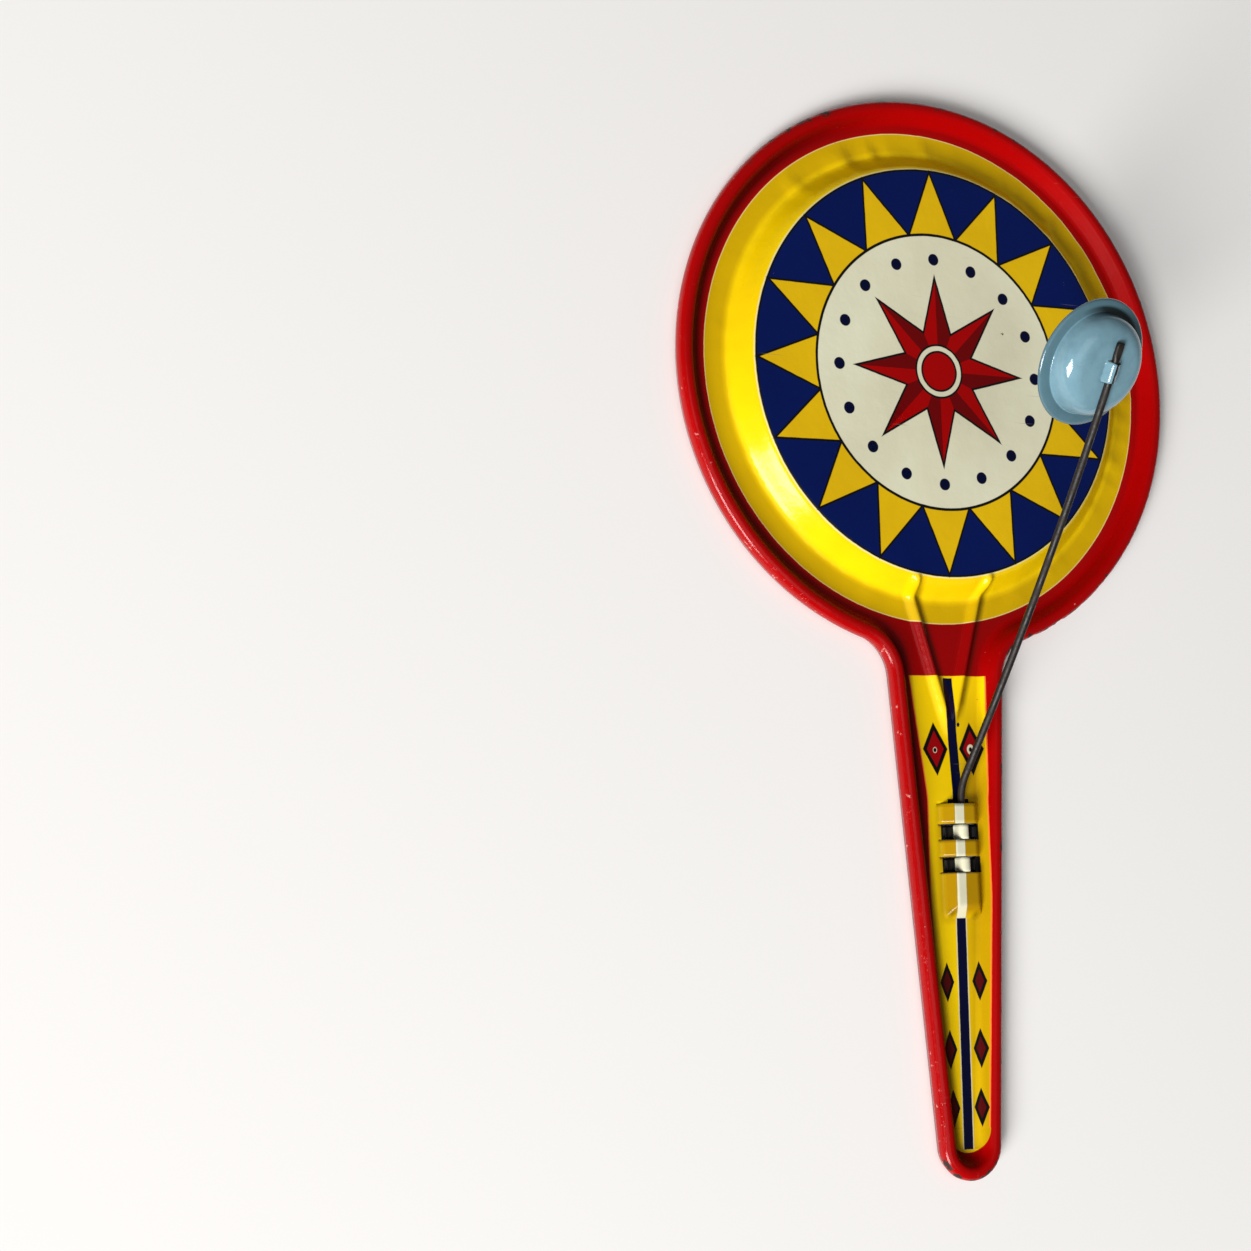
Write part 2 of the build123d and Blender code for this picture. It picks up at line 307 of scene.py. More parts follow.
def rimRows(outline):
    rows = []
    for inset, z in roundedLine(pan["rimSection"], pan["rimBends"], 6):
        row = []
        for p, n in outline:
            q = p - n * inset
            if inset < 0.7 and z < nick["below"]:
                dent = max(0, noise.noise((p.x * nick["grain"], p.y * nick["grain"], 6.6)))
                q -= n * (nick["depth"] * dent * clamped((p.x - nick["start"]) / nick["fade"]))
            wave = 0.07 * noise.noise((q.x * 0.06, q.y * 0.06, 4.4))
            wave += 0.03 * noise.noise((q.x * 0.25, q.y * 0.25, 9.2))
            fade = min(1, z / 1.6)
            calm = 1 if inset < 3.5 else max(0, (4.66 - inset) / 1.16)
            height = z + wave * fade * calm
            if inset > 4.6:
                height = panHeight(q.x, q.y)
            row.append((q.x, q.y, height))
        rows.append(row)
    return rows


def tunnelSection():
    half, top, low = tunnel["halfWidth"], tunnel["topHalfWidth"], pan["floor"]
    points = [(-tunnel["margin"] + tunnel["lap"], low), (-half, low), (-top, tunnel["top"])]
    points += [(-x, z) for x, z in reversed(points)]
    return roundedLine(points, tunnel["bends"], 6)


def bandSection():
    half, low, dip = tunnel["halfWidth"], pan["floor"], tunnel["bandDip"]
    saddle, top = tunnel["saddleHalf"], tunnel["top"]
    points = [(-tunnel["margin"] + tunnel["lap"], low), (-half + tunnel["bandFoot"], low)]
    points += [(-tunnel["bandFloorHalf"], dip), (-saddle, dip), (-saddle, top)]
    points += [(-x, z) for x, z in reversed(points)]
    return roundedLine(points, tunnel["bandBends"] + tunnel["bandBends"][::-1], 5)


def tunnelStrip(section, yStart, yStop, steps, slit=0.0, blind=False):
    low = pan["floor"]
    line = evenly(section, tunnel["columns"] - 2)
    line = [Vector((-tunnel["margin"], low)), *line, Vector((tunnel["margin"], low))]
    rows = []
    for share in np.linspace(0, 1, steps):
        row = []
        for i, (x, z) in enumerate(line):
            inner = 2 <= i < len(line) - 2
            a, b = (yStart - slit, yStop + slit) if inner else (yStart, yStop)
            y = a + (b - a) * share
            if blind:
                slope = low + max(y - tunnel["end"], 0)
                z = (z + slope - math.sqrt((z - slope) ** 2 + 0.06)) / 2 if inner else z
                z = max(z, low)
            row.append((x + tunnel["shift"], y, z))
        rows.append(row)
    return rows


def tunnelStrips():
    reach = tunnel["margin"] - tunnel["lap"]
    flat = [Vector((-reach, pan["floor"])), Vector((reach, pan["floor"]))]
    mouth, slit = tunnel["mouth"], tunnel["slit"]
    (first, firstEnd), (second, secondEnd) = tunnel["windows"]
    return [
        tunnelStrip(flat, mouth + slit + 1.2, mouth + slit, 3),
        tunnelStrip(tunnelSection(), mouth, first, 6),
        tunnelStrip(bandSection(), first, firstEnd, 6, slit=tunnel["bandSlit"]),
        tunnelStrip(tunnelSection(), firstEnd, second, 6),
        tunnelStrip(bandSection(), second, secondEnd, 6, slit=tunnel["bandSlit"]),
        tunnelStrip(tunnelSection(), secondEnd, tunnel["end"] - tunnel["runOut"], 26, blind=True),
    ]


def mouthSides():
    rows = []
    for side in (-1, 1):  # floor beside the lanced slit in front of the mouth
        x = [side * tunnel["margin"], side * (tunnel["margin"] - tunnel["lap"])]
        y = [tunnel["mouth"] + tunnel["slit"], tunnel["mouth"]]
        row = [[(a + tunnel["shift"], b, pan["floor"]) for a in sorted(x)] for b in y]
        rows.append(row)
    return rows


def panPoints():
    ribs = []
    for foot, tail in pan["ribs"]:
        run = (Vector(tail) - Vector(foot)).normalized()
        across = Vector((-run.y, run.x))
        for aside in pan["ribRows"]:
            for step in np.arange(-4.8, (Vector(tail) - Vector(foot)).length + 3.6, 0.6):
                for sign in (-1, 1):
                    p = Vector(foot) + run * step + across * (aside * sign)
                    ribs.append((p.x, p.y))
    rings = []
    for radius in pan["wallRings"]:
        for a in np.linspace(0, 2 * math.pi, pan["ringPoints"], endpoint=False):
            rings.append((radius * math.sin(a), pan["headY"] + radius * math.cos(a)))
    spread = []
    for radius in np.arange(1.2, 38.4, 2.4):
        for a in np.linspace(0, 2 * math.pi, int(radius * 2.8) + 6, endpoint=False):
            spread.append((radius * math.sin(a), pan["headY"] + radius * math.cos(a)))
    handle = [(x, y) for y in np.arange(-101, 8, 1.1) for x in np.arange(-13.2, 13.3, 1.1)]
    points = spaced(ribs, [], 0.3)
    points += spaced(rings, points, 0.4)
    points += spaced(spread, points, 1.0)
    points += spaced(handle, points, 0.8)
    return points


def buildPan():
    outline = panOutline()
    rows = rimRows(outline)
    strips = tunnelStrips()
    sheet = SheetMesh()
    sheet.grid(rows, closed=True)
    for strip in strips:
        sheet.grid(strip)
    for side in mouthSides():
        sheet.grid(side)
    allRows = [row for strip in strips for row in strip]
    leftSide = [row[0] for row in allRows]
    rightSide = [row[-1] for row in allRows]
    hole = []
    for p in [*allRows[0][:-1], *rightSide, *reversed(allRows[-1][1:-1]), *reversed(leftSide)]:
        if not hole or (Vector(p) - Vector(hole[-1])).length > 0.001:
            hole.append(p)
    if (Vector(hole[0]) - Vector(hole[-1])).length < 0.001:
        hole.pop()
    ring = rows[-1]
    points = panPoints()
    flatRing = [p[:2] for p in ring]
    flatHole = [p[:2] for p in hole]
    inside = insideOf(points, flatRing) & ~insideOf(points, flatHole)
    edgePoints = flatRing + flatHole
    points = spaced([p for p, good in zip(points, inside) if good], edgePoints, 0.28)
    corners, faces = filledSheet(ring, hole, points)
    known = {(round(p[0], 3), round(p[1], 3)): p[2] for p in (*ring, *hole)}
    lifted = []
    for x, y in corners:
        z = known.get((round(x, 3), round(y, 3)))
        if z is None:
            z = panHeight(x, y)
            beside = abs(x - tunnel["shift"]) - tunnel["margin"]
            near = clamped(max(beside, tunnel["end"] - tunnel["runOut"] - y, y + 31.5) / 1.2)
            z = pan["floor"] + (z - pan["floor"]) * near if y < -20 else z
        lifted.append((x, y, z))
    sheet.patch(lifted, faces)
    piece = sheet.make("pan_pressing")
    thicken(piece, pan["sheet"], 1, 2)
    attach(piece, "pan_body")
    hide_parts("pan")
    return piece


panPiece = buildPan()
print("pan pressed:", len(panPiece.data.vertices), "points")

# Spring wire, one length from the tunnel to the cup

wire = {
    "radius": 0.7,
    "tailY": -51.1,
    "mouth": Vector((2.0, -33.5, 2.02)),
    "lift": math.radians(31.5),
    "lean": math.radians(8.85),
    "bow": math.radians(5.0),
    "bend": 10.0,
    "flexRun": 7.4,
    "crownY": 39.5,
    "crimp": 3.8,
    "cupRoll": math.radians(9.3),
    "paddleLength": 2.7,
    "paddleHalf": (0.8, 0.45),
    "blendReach": 26,
    "rows": 190,
    "sides": 20,
}
lift, lean, bow = wire["lift"], wire["lean"], wire["bow"]
wireWay = Vector((math.sin(lean) * math.cos(lift), math.cos(lean) * math.cos(lift), math.sin(lift)))
wireLeft = Vector((-math.cos(lean), math.sin(lean), 0))
cupWay = wireWay * math.cos(bow) + wireLeft * math.sin(bow)
bendReach = wire["bend"] * math.tan(math.acos(wireWay.y) / 2)
wireCorner = wire["mouth"] + Vector((0, bendReach, 0))
flexPoint = wireCorner + wireWay * (bendReach + wire["flexRun"])
bowReach = wireWay * math.sin(bow) + wireLeft * (1 - math.cos(bow))
bowRadius = (wire["crownY"] - cupWay.y * wire["crimp"] / 2 - flexPoint.y) / bowReach.y
crownPoint = flexPoint + bowReach * bowRadius + cupWay * (wire["crimp"] / 2)
cupLevel = Vector((cupWay.y, -cupWay.x, 0)).normalized()
cupAxis = cupLevel.cross(cupWay) * math.cos(wire["cupRoll"]) + cupLevel * math.sin(wire["cupRoll"])
cupAcross = cupWay.cross(cupAxis)


def buildWire():
    tail = Vector((wire["mouth"].x, wire["tailY"], wire["mouth"].z))
    line = roundedLine([tail, wireCorner, flexPoint], [wire["bend"]], 14)
    for a in np.linspace(0, bow, 25)[1:]:
        line.append(flexPoint + (wireWay * math.sin(a) + wireLeft * (1 - math.cos(a))) * bowRadius)
    line.append(crownPoint + cupWay * (wire["crimp"] / 2 + wire["radius"] + wire["paddleLength"]))
    line = evenly(line, wire["rows"])
    bendSide = Vector((0, 1, 0)).cross(wireWay).normalized()
    flatten = crownPoint + cupWay * (wire["crimp"] / 2 + 0.3)
    rows = []
    for i, p in enumerate(line):
        ahead = (line[min(i + 1, len(line) - 1)] - line[max(i - 1, 0)]).normalized()
        beyond = (p - flatten).dot(cupWay)
        flat = clamped(beyond / 1.2)
        flat = flat * flat * (3 - 2 * flat)
        turned = clamped((beyond + 8) / 8)
        side = bendSide.lerp(cupAcross, turned).normalized()
        up = side.cross(ahead).normalized()
        wide = wire["radius"] + (wire["paddleHalf"][0] - wire["radius"]) * flat
        thick = wire["radius"] + (wire["paddleHalf"][1] - wire["radius"]) * flat
        wide *= 1 + 0.02 * noise.noise((p.y * 0.8, 2.2, 0))
        square = 1 - 0.4 * flat
        row = []
        for j in range(wire["sides"]):
            a = 2 * math.pi * j / wire["sides"]
            c, s = math.cos(a), math.sin(a)
            c = math.copysign(abs(c) ** square, c)
            s = math.copysign(abs(s) ** square, s)
            row.append(p + side * (wide * c) + up * (thick * s))
        rows.append(row)
    for end in (0, -1):  # close both cut ends with a rounded edge
        middle = sum(rows[end], Vector()) / wire["sides"]
        ahead = (line[end] - line[1 if end == 0 else -2]).normalized()
        ringIn = [middle + (q - middle) * 0.8 + ahead * 0.18 for q in rows[end]]
        point = [middle + (q - middle) * 0.001 + ahead * 0.22 for q in rows[end]]
        rows = [point, ringIn, *rows] if end == 0 else [*rows, ringIn, point]
    sheet = SheetMesh()
    sheet.grid(rows, closed=True)
    piece = sheet.make("spring_wire")
    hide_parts("spring_wire_root", "spring_wire_arm")
    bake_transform(piece)
    return piece


wirePiece = buildWire()
print("wire drawn:", len(wirePiece.data.vertices), "points")

# Striker cup, with its lips crimped over the wire

cup = {
    "sheet": 0.35,
    "brimRadius": 11.4,
    "foldRadius": 9.18,
    "shoulderRadius": 8.5,
    "height": 4.9,
    "rise": 0.6,
    "bends": [3.17, 0.63],
    "capRadius": 5.9,
    "slotHalf": (1.9, 1.6),
    "lipGap": 0.25,
    "clearance": 0.03,
    "turns": 128,
}
wireHeight = cup["height"] + cup["clearance"] + wire["radius"]
brimCentre = crownPoint - cupAxis * wireHeight
topBall = (cup["shoulderRadius"] ** 2 + cup["rise"] ** 2) / (2 * cup["rise"])


def topHeight(radius):
    return math.sqrt(topBall**2 - radius**2) - topBall + cup["height"]


def onCup(u, v, w):
    return brimCentre + cupWay * u + cupAcross * v + cupAxis * w


def cupProfile():
    corners = [
        (cup["capRadius"], topHeight(cup["capRadius"])),
        (cup["shoulderRadius"], topHeight(cup["shoulderRadius"])),
        (cup["foldRadius"], 0.0),
        (cup["brimRadius"] - 0.15, 0.0),
    ]
    edge = [Vector((cup["brimRadius"], -0.12)), Vector((cup["brimRadius"] + 0.02, -0.3))]
    return roundedLine(corners, cup["bends"], 12) + edge


def buildCup():
    sheet = SheetMesh()
    turns = cup["turns"]
    rows = []
    for radius, height in cupProfile():
        row = []
        for i in range(turns):
            a = 2 * math.pi * i / turns
            rough = 0.05 * noise.noise((math.cos(a) * 3, math.sin(a) * 3, 5.5))
            rough *= max(0, (radius - 9.2) / 2.2)  # only the brim is uneven
            row.append(onCup(radius * math.cos(a), radius * math.sin(a), height + rough))
        rows.append(row)
    sheet.grid(rows, closed=True)
    ring = [(cup["capRadius"] * math.cos(a), cup["capRadius"] * math.sin(a))
            for a in np.linspace(0, 2 * math.pi, turns, endpoint=False)]
    halfU, halfV = cup["slotHalf"]
    sides = [(halfU, -halfV), (halfU, halfV), (-halfU, halfV), (-halfU, -halfV)]
    hole = []
    for a, b in zip(sides, sides[1:] + sides[:1]):
        hole += [tuple(Vector(a).lerp(Vector(b), t)) for t in np.linspace(0, 1, 11)[:-1]]
    points = [(r * math.cos(a), r * math.sin(a)) for r in np.arange(1.1, 5.8, 0.45)
              for a in np.linspace(0, 2 * math.pi, int(r * 13), endpoint=False)]
    outside = ~insideOf(points, hole)
    points = spaced([p for p, good in zip(points, outside) if good], ring + hole, 0.2)
    corners, faces = filledSheet(ring, hole, points)
    sheet.patch([onCup(u, v, topHeight(math.hypot(u, v))) for u, v in corners], faces)
    grip = wire["radius"] + cup["clearance"] + cup["sheet"]
    slope = 2 * math.atan2(grip - cup["sheet"] / 2, halfV - 0.1)
    for side in (-1, 1):
        line = [Vector((side * halfV, topHeight(halfV)))]
        for a in np.linspace(math.pi / 2 - slope, math.acos(cup["lipGap"] / grip), 7):
            line.append(Vector((side * grip * math.cos(a), wireHeight + grip * math.sin(a))))
        line[1:1] = [line[0].lerp(line[1], t) for t in (0.12, 0.4, 0.7)]
        lip = []
        for i, (v, w) in enumerate(line):
            reach = halfU - 0.2 * (i / (len(line) - 1)) ** 2
            row = []
            for u, slotU in zip(np.linspace(-reach, reach, 11), np.linspace(-halfU, halfU, 11)):
                row.append(onCup(u, v, w) if i else onCup(slotU, v, topHeight(math.hypot(slotU, v))))
            lip.append(row if side < 0 else list(reversed(row)))
        sheet.grid(lip)
    piece = sheet.make("striker_cup_stamping")
    thicken(piece, cup["sheet"], 0, 1)
    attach(piece, "striker")
    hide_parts("striker_cup")
    return piece


cupPiece = buildCup()
print("cup stamped:", len(cupPiece.data.vertices), "points")

# Materials

def ink(red, green, blue):
    levels = [level / 255 for level in (red, green, blue)]
    linear = [c / 12.92 if c <= 0.04045 else ((c + 0.055) / 1.055) ** 2.4 for c in levels]
    return (*linear, 1.0)


class Term:  # a number inside a shader tree, with ordinary arithmetic
    def __init__(self, tree, socket):
        self.tree = tree
        self.socket = socket

    def calc(self, operation, *others, clamp=False):
        node = self.tree.nodes.new("ShaderNodeMath")
        node.operation = operation
        node.use_clamp = clamp
        for slot, value in zip(node.inputs, (self, *others)):
            if isinstance(value, Term):
                self.tree.links.new(value.socket, slot)
            else:
                slot.default_value = value
        return Term(self.tree, node.outputs[0])

    def __add__(self, other):
        return self.calc("ADD", other)

    def __sub__(self, other):
        return self.calc("SUBTRACT", other)

    def __mul__(self, other):
        return self.calc("MULTIPLY", other)

    def under(self, limit, soft=0.12):  # 1 where the number is under the limit, with a soft edge
        return self.calc("MULTIPLY_ADD", -1 / soft, limit / soft + 0.5, clamp=True)

    def over(self, limit, soft=0.12):
        return self.calc("MULTIPLY_ADD", 1 / soft, 0.5 - limit / soft, clamp=True)

    def size(self):
        return self.calc("ABSOLUTE")

    def away(self, other):
        return ((self * self) + (other * other)).calc("SQRT")


def newTree(name):
    material = bpy.data.materials.new(name)
    material.use_nodes = True
    return material, material.node_tree, material.node_tree.nodes["Principled BSDF"]


def millimetres(tree):
    coords = tree.nodes.new("ShaderNodeTexCoord")
    scale = tree.nodes.new("ShaderNodeVectorMath")
    scale.operation = "SCALE"
    scale.inputs["Scale"].default_value = 1000
    tree.links.new(coords.outputs["Object"], scale.inputs[0])
    return scale.outputs[0]


def xyz(tree, vector):
    split = tree.nodes.new("ShaderNodeSeparateXYZ")
    tree.links.new(vector, split.inputs[0])
    return [Term(tree, out) for out in split.outputs]


def cloud(tree, vector, scale, detail=3.0, roughness=0.55):
    node = tree.nodes.new("ShaderNodeTexNoise")
    node.inputs["Scale"].default_value = scale
    node.inputs["Detail"].default_value = detail
    node.inputs["Roughness"].default_value = roughness
    tree.links.new(vector, node.inputs["Vector"])
    return Term(tree, node.outputs[0])


def stretched(tree, vector, x, y, z):
    node = tree.nodes.new("ShaderNodeMapping")
    node.inputs["Scale"].default_value = (x, y, z)
    node.inputs["Rotation"].default_value = (0, 0, 0.6)
    tree.links.new(vector, node.inputs["Vector"])
    return node.outputs[0]


def painted(tree, mask, under, over):
    node = tree.nodes.new("ShaderNodeMix")
    node.data_type = "RGBA"
    tree.links.new(mask.socket, node.inputs[0])
    for slot, value in ((node.inputs[6], under), (node.inputs[7], over)):
        if isinstance(value, tuple):
            slot.default_value = value
        else:
            tree.links.new(value, slot)
    return node.outputs[2]


def bumped(tree, shader, height, strength, distance):
    node = tree.nodes.new("ShaderNodeBump")
    node.inputs["Strength"].default_value = strength
    node.inputs["Distance"].default_value = distance
    tree.links.new(height.socket, node.inputs["Height"])
    tree.links.new(node.outputs[0], shader.inputs["Normal"])


def wearGroup():
    tree = bpy.data.node_groups.new("enamelWear", "ShaderNodeTree")
    tree.interface.new_socket("Place", in_out="INPUT", socket_type="NodeSocketVector")
    tree.interface.new_socket("Edge", in_out="INPUT", socket_type="NodeSocketFloat")
    for name in ("Chips", "Scuffs", "Scratches", "Grime", "Gloss", "Height"):
        tree.interface.new_socket(name, in_out="OUTPUT", socket_type="NodeSocketFloat")
    entry = tree.nodes.new("NodeGroupInput")
    leave = tree.nodes.new("NodeGroupOutput")
    place = entry.outputs["Place"]
    edge = Term(tree, entry.outputs["Edge"])
    speck = cloud(tree, place, 0.9, 5.0, 0.6)
    chips = (speck + edge * 0.17).over(0.735, 0.02)
    scuffs = (cloud(tree, place, 0.55, 6.0, 0.7) + edge * 0.1).over(0.745, 0.03)
    hair = cloud(tree, stretched(tree, place, 0.05, 2.6, 1.0), 1.0, 2.0)
    streak = cloud(tree, place, 0.08, 2.0)
    scratches = hair.over(0.745, 0.03) * streak.over(0.56, 0.08)
    grime = cloud(tree, place, 0.22, 4.0, 0.6).over(0.55, 0.35)
    gloss = cloud(tree, place, 0.5, 4.0).calc("MULTIPLY_ADD", 0.14, 0.11)
    height = cloud(tree, place, 0.55, 3.0) + cloud(tree, place, 3.5, 2.0) * 0.12 - chips * 0.5
    values = (chips, scuffs, scratches, grime, gloss, height)
    for slot, value in zip(leave.inputs, values):
        tree.links.new(value.socket, slot)
    return tree


enamelWear = wearGroup()


def worn(tree, place, edge):
    node = tree.nodes.new("ShaderNodeGroup")
    node.node_tree = enamelWear
    tree.links.new(place, node.inputs["Place"])
    tree.links.new(edge.socket, node.inputs["Edge"])
    return {out.name: Term(tree, out) for out in node.outputs}


def insetOf(tree):
    node = tree.nodes.new("ShaderNodeAttribute")
    node.attribute_name = "inset"
    return Term(tree, node.outputs["Fac"])


inks = {
    "red": ink(166, 1, 2),
    "yellow": ink(246, 208, 4),
    "gold": ink(228, 186, 14),
    "blue": ink(4, 22, 84),
    "navy": ink(5, 9, 44),
    "cream": ink(226, 225, 196),
    "black": ink(14, 12, 14),
    "darkRed": ink(150, 4, 8),
    "brownRed": ink(78, 8, 8),
    "shadeRed": ink(108, 3, 6),
    "deepRed": ink(146, 1, 2),
    "orange": ink(250, 120, 50),
    "oldGold": ink(158, 116, 3),
    "pale": ink(236, 222, 150),
    "tin": ink(120, 112, 100),
    "ribShade": ink(52, 12, 2),
    "crease": ink(52, 1, 2),
    # painted shadow for the creases at the tunnel's blind end
    "dent": ink(60, 44, 8),
    "scuff": ink(226, 170, 160),
    "chip": ink(46, 30, 26),
}
printed = {
    "yellowRadius": 47.9,
    "moatRadius": 44.2,
    "blueRadius": 39.6,
    "rays": 16,
    "rayTip": 39.0,
    "raySlope": 0.40,
    "roundel": 27.0,
    "starPoints": 8,
    "starTip": 17.5,
    "starNotch": 7.6,
    "dotRing": 21.9,
    "dot": 1.15,
    "buttonRings": ((5.3, "black"), (4.9, "cream"), (4.0, "black"), (3.6, "red")),
    "panelTop": -9.4,
    "panelHalf": 6.35,
    "panelTaper": (0.05, 8.9),
    "panelFlare": (33.0, 0.08),
    "panelEnd": (-93.1, 4.5),
    "stripe": 1.0,
    "stripeSpan": (-9.8, -33.5, -54.8, -97.0),
    "stripeLines": [(0.57, -0.043), (2.6, 0.0225)],
    "pips": [(-2.5, -23.4, 0.55), (5.4, -23.3, 0.95), (2.9, -18.6, 0.0)],
    "creases": [(-1.0, -53.9, 0.5), (4.3, -54.3, 0.5)],
    "lozenges": [
        (4.0, -23.2, 2.6, 4.8),
        (3.5, -66.5, 1.45, 3.5),
        (3.3, -78.8, 1.45, 3.5),
        (3.0, -89.5, 1.4, 3.4),
    ],
}


def headPrint(tree, x, y, base):
    up = y - pan["headY"]
    radius = x.away(up)
    angle = x.calc("ARCTAN2", up)
    colour = painted(tree, radius.under(printed["yellowRadius"] + 0.16), base, inks["pale"])
    colour = painted(tree, radius.under(printed["yellowRadius"]), colour, inks["yellow"])
    moat = radius.over(printed["moatRadius"], 1.2) * radius.under(printed["yellowRadius"])
    colour = painted(tree, moat * 0.42, colour, inks["oldGold"])  # painted shade down in the moat
    blue = printed["blueRadius"]
    for rim, name in ((blue + 0.3, "pale"), (blue + 0.05, "black"), (blue - 0.35, "blue")):
        colour = painted(tree, radius.under(rim), colour, inks[name])
    fold = angle.calc("PINGPONG", math.pi / printed["rays"])
    out, aside = radius * fold.calc("COSINE"), radius * fold.calc("SINE")
    lean = math.atan(printed["raySlope"])
    ray = aside * math.cos(lean) + (out - printed["rayTip"]) * math.sin(lean)
    for rim, name in ((0.3, "black"), (-0.12, "gold")):
        colour = painted(tree, ray.under(rim), colour, inks[name])
    for rim, name in ((printed["roundel"], "black"), (printed["roundel"] - 0.55, "cream")):
        colour = painted(tree, radius.under(rim), colour, inks[name])
    dots = (out - printed["dotRing"]).away(aside)
    colour = painted(tree, dots.under(printed["dot"]), colour, inks["navy"])
    share = math.pi / printed["starPoints"]
    wide = angle.calc("PINGPONG", share)
    out, aside = radius * wide.calc("COSINE"), radius * wide.calc("SINE")
    notch = Vector((math.cos(share), math.sin(share))) * printed["starNotch"]
    flank = (Vector((printed["starTip"], 0)) - notch).normalized()
    star = (out - printed["starTip"]) * -flank.y + aside * flank.x
    half = (angle * (printed["starPoints"] / 2 / math.pi)).calc("FRACT").under(0.5, 0.01)
    colour = painted(tree, star.under(0.42), colour, inks["black"])
    facets = painted(tree, half, inks["red"], inks["shadeRed"])
    colour = painted(tree, star.under(0.0), colour, facets)
    for rim, name in printed["buttonRings"]:
        colour = painted(tree, radius.under(rim), colour, inks[name])
    return colour


def handlePrint(tree, x, y, z, base):
    upper, lower = [y * slope + start for start, slope in printed["stripeLines"]]
    fromTunnel = (x - tunnel["shift"]).size()
    pulled = fromTunnel.under(4.6, 0.6).calc("MAXIMUM", x.over(2.0, 0.5))
    drawnUp = (z - pan["floor"]) * pulled  # lines the print up from the photo's side
    middle = upper.calc("MINIMUM", lower) - drawnUp * 0.46
    side = (x - middle).size()
    flareStart, flareSlope = printed["panelFlare"]
    flare = (y + flareStart).calc("MAXIMUM", 0.0) * flareSlope
    taper, widest = printed["panelTaper"]
    width = (y * taper + widest).calc("MINIMUM", printed["panelHalf"]) + flare
    endY, endRadius = printed["panelEnd"]
    body = (side - width).under(0.0) * y.under(printed["panelTop"]) * y.over(endY)
    tip = side.away(y - endY).under(endRadius) * y.under(endY)
    fringe = (side - width).under(0.25) * y.under(printed["panelTop"]) * y.over(endY)
    colour = painted(tree, fringe, base, inks["orange"])
    colour = painted(tree, body.calc("MAXIMUM", tip), colour, inks["yellow"])
    rightShade = (x - middle).over(1.5, 5.0) * side.under(7.0) * y.under(-20.0, 20.0) * y.over(-97.0)
    pressed = fromTunnel.under(4.6, 2.0) * y.under(tunnel["mouth"], 1.0) * y.over(tunnel["end"], 3.0)
    # painted shade on the panel's right and on the tunnel
    panelShade = body.calc("MAXIMUM", tip) * (rightShade * 0.7).calc("MAXIMUM", pressed * 0.85)
    colour = painted(tree, panelShade, colour, inks["oldGold"])
    top, paleTop, paleEnd, end = printed["stripeSpan"]
    band = side.under(printed["stripe"])
    colour = painted(tree, side.under(1.2) * y.under(paleEnd) * y.over(end) * 0.8, colour, inks["cream"])
    colour = painted(tree, band * y.under(top) * y.over(end), colour, inks["navy"])
    colour = painted(tree, band * y.under(paleTop) * y.over(paleEnd), colour, inks["cream"])
    for out, height, halfWide, halfTall in printed["lozenges"]:
        lozenge = (side - out).size() * (1 / halfWide) + (y - height).size() * (1 / halfTall)
        large = halfWide > 2
        rim = (0.75 if large else 0.55) / halfWide
        colour = painted(tree, lozenge.under(1.05, 0.06), colour, inks["black"])
        fill = inks["darkRed"] if large else inks["brownRed"]
        colour = painted(tree, lozenge.under(1 - rim, 0.06), colour, fill)
    for across, height, white in printed["pips"]:  # pricked dimples with the ink chipped round them
        pip = ((x - across) * 1.25).away(y - height)
        colour = painted(tree, pip.under(white), colour, inks["cream"])
        colour = painted(tree, pip.under(0.42), colour, inks["black"])
    for across, height, reach in printed["creases"]:  # painted shadow in the creases beside the blind end of the tunnel
        dent = (x - across).away(y - height).under(reach, 1.3)
        colour = painted(tree, dent * 0.7, colour, inks["dent"])
    # painted shadow in the mouth of the tunnel
    mouth = y.over(tunnel["mouth"] - 0.05, 0.05) * y.under(tunnel["mouth"] + 0.9) * fromTunnel.under(2.3)
    colour = painted(tree, mouth, colour, inks["black"])
    for start, stop in tunnel["windows"]:  # staked bands: flanks painted black as shade, cream kept on the saddle
        window = y.under(start) * y.over(stop) * fromTunnel.under(tunnel["halfWidth"])
        colour = painted(tree, window, colour, inks["black"])
        colour = painted(tree, window * fromTunnel.under(tunnel["saddleHalf"] + 0.1), colour, inks["cream"])
    return colour


